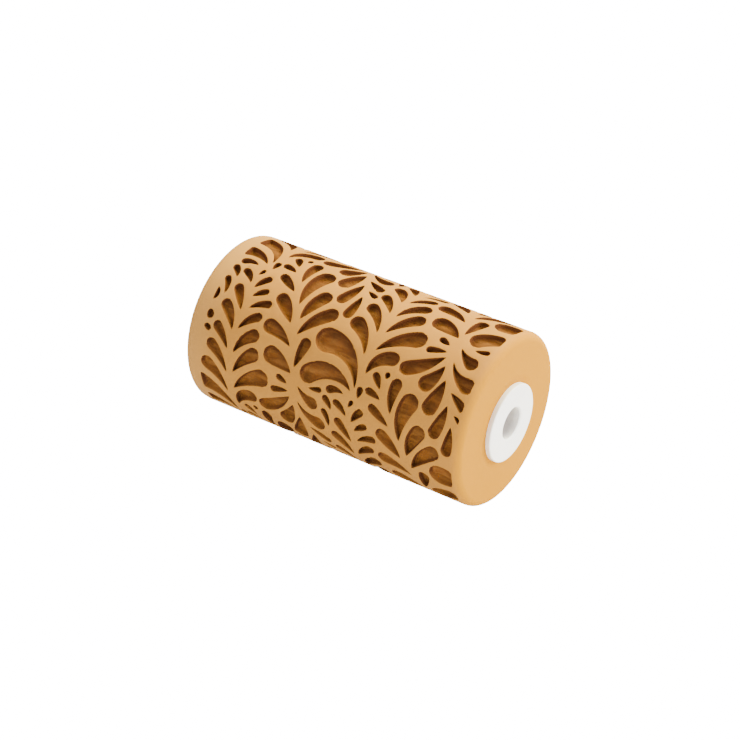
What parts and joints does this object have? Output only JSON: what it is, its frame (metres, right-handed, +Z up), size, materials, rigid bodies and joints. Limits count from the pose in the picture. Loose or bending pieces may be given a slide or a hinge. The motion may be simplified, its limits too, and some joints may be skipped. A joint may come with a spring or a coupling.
{
  "type": "textured pattern roller",
  "caption": "Engraved rubber pattern roller: a thick tan sleeve with deep leaf-shaped pockets on a hard core tube, with a white flanged bush pressed into each end.",
  "frame": {"origin": "on the roller's axis, half way along the sleeve", "axes": "+X along the axis towards the right end bush, +Z up, the roller lying on its side"},
  "size_m": [0.1538, 0.082, 0.082],
  "materials": {
    "engraved_rubber": "smooth matt tan rubber, darker and rough in the engraved pockets",
    "core_plastic": "plain extruded tube",
    "white_nylon": "satin moulded white nylon"
  },
  "bodies": {
    "root": {"pattern_sleeve": "engraved_rubber", "core_tube": "core_plastic", "left_end_bush": "white_nylon", "right_end_bush": "white_nylon"}
  },
  "joints": []
}
